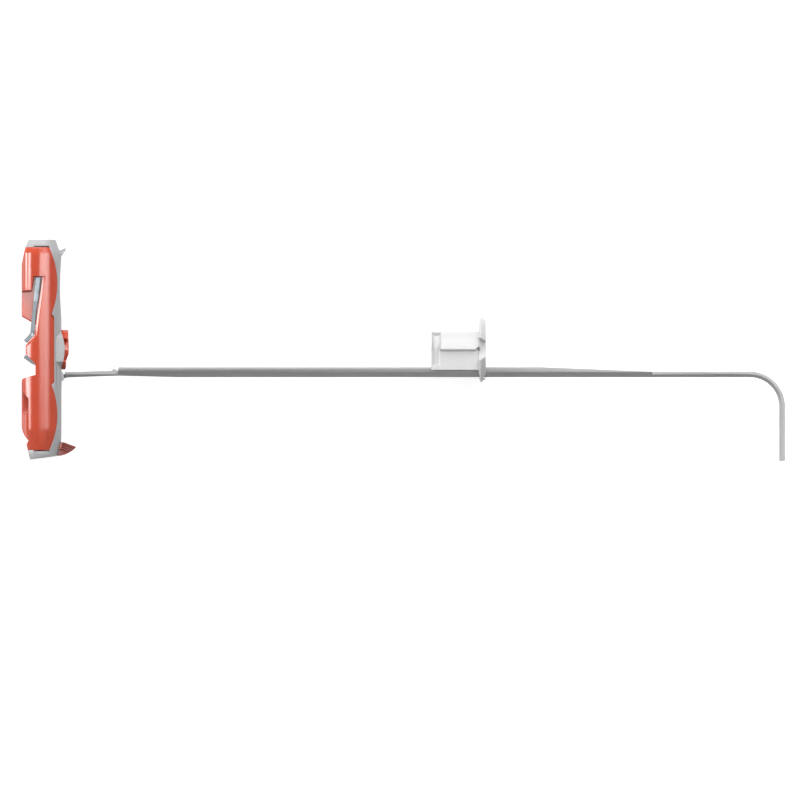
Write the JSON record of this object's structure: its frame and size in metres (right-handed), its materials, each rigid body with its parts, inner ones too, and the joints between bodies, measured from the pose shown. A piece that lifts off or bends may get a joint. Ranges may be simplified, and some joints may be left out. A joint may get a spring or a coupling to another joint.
{
  "type": "toggle anchor",
  "caption": "Hollow-wall toggle anchor: a folding red and grey toggle on a ratchet pull strap, with a sliding sleeve collar that locks it against the wall.",
  "frame": {"origin": "where the screw axis meets the middle of the toggle", "axes": "+X along the screw axis towards the screw's head, +Y along the toggle away from the strap, +Z across both, up from the table that the anchor lies on"},
  "size_m": [0.1679, 0.0487, 0.0138],
  "materials": {
    "red_nylon": "moulded nylon, semi-gloss",
    "grey_nylon": "moulded nylon, satin",
    "leaf_steel": "stamped spring steel, zinc plated",
    "strap_nylon": "moulded nylon, satin",
    "collar_nylon": "moulded nylon, satin"
  },
  "bodies": {
    "toggle": {"toggle_body": "red_nylon", "toggle_spine": "grey_nylon"},
    "upper_leaf": {"grip_leaf_upper": "leaf_steel"},
    "lower_leaf": {"grip_leaf_lower": "leaf_steel"},
    "strap": {"pull_strap": "strap_nylon"},
    "collar": {"sliding_collar": "collar_nylon"}
  },
  "joints": [
    {"name": "strap_hinge", "type": "hinge", "parent": "toggle", "child": "strap", "pos_m": [0.0043, -0.00625, 0], "axis": [0, 0, 1], "range_deg": [-75, 12]},
    {"name": "collar_slide", "type": "slide", "parent": "strap", "child": "collar", "axis": [1, 0, 0], "range_m": [-0.068, 0.011]},
    {"name": "upper_leaf_spring", "type": "hinge", "parent": "toggle", "child": "upper_leaf", "pos_m": [-0.00078, 0.01555, 0], "axis": [0, 0, -1], "range_deg": [0, 6], "stiffness_Nm_per_rad": 0.02},
    {"name": "lower_leaf_spring", "type": "hinge", "parent": "toggle", "child": "lower_leaf", "pos_m": [-0.00047, -0.0034, 0], "axis": [0, 0, 1], "range_deg": [0, 6], "stiffness_Nm_per_rad": 0.02}
  ]
}
